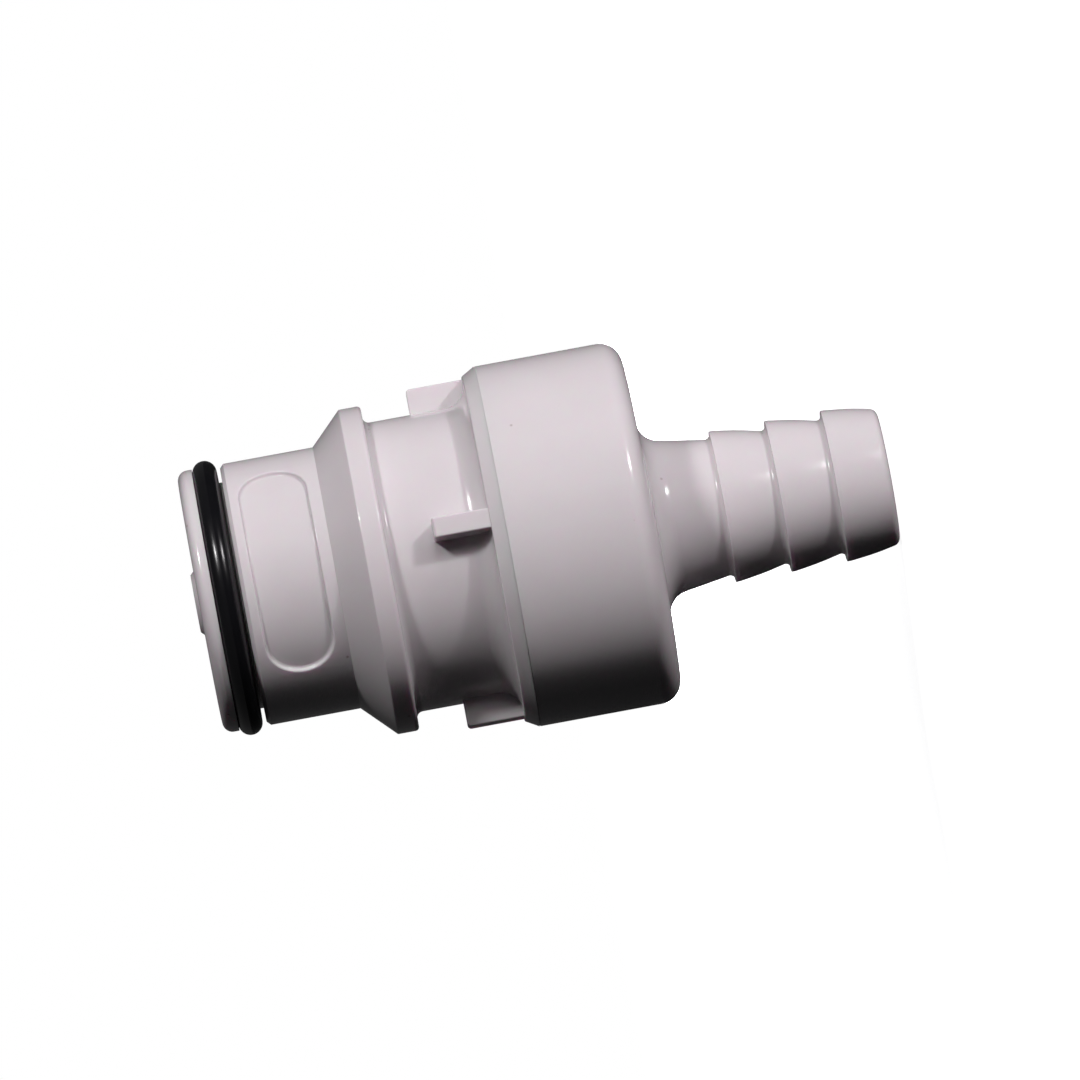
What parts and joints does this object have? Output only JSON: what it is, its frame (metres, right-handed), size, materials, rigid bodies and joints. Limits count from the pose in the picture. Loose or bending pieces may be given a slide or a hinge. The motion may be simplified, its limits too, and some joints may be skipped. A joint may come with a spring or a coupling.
{
  "type": "quick disconnect coupling insert",
  "caption": "White plastic quick disconnect insert: sealed nose with a latch flange, a sprung flat-faced shut-off valve and a barbed hose tail.",
  "frame": {"origin": "centre of the flat end of the hose tail", "axes": "+Z along the axis from the hose tail to the nose; -Y is the side with the oval field"},
  "size_m": [0.0284, 0.0284, 0.0547],
  "materials": {
    "white_plastic": "satin",
    "black_rubber": "satin",
    "spring_steel": "satin"
  },
  "bodies": {
    "housing": {"insert_body": "white_plastic", "barb_cap": "white_plastic", "nose_o_ring": "black_rubber", "valve_spring": "spring_steel"},
    "valve": {"valve_poppet": "white_plastic", "poppet_o_ring": "black_rubber"}
  },
  "joints": [
    {"name": "valve_slide", "type": "slide", "parent": "housing", "child": "valve", "axis": [0, 0, -1], "range_m": [0, 0.0045], "stiffness_N_per_m": 800, "springref_m": -0.005, "deforming": ["valve_spring"]}
  ]
}
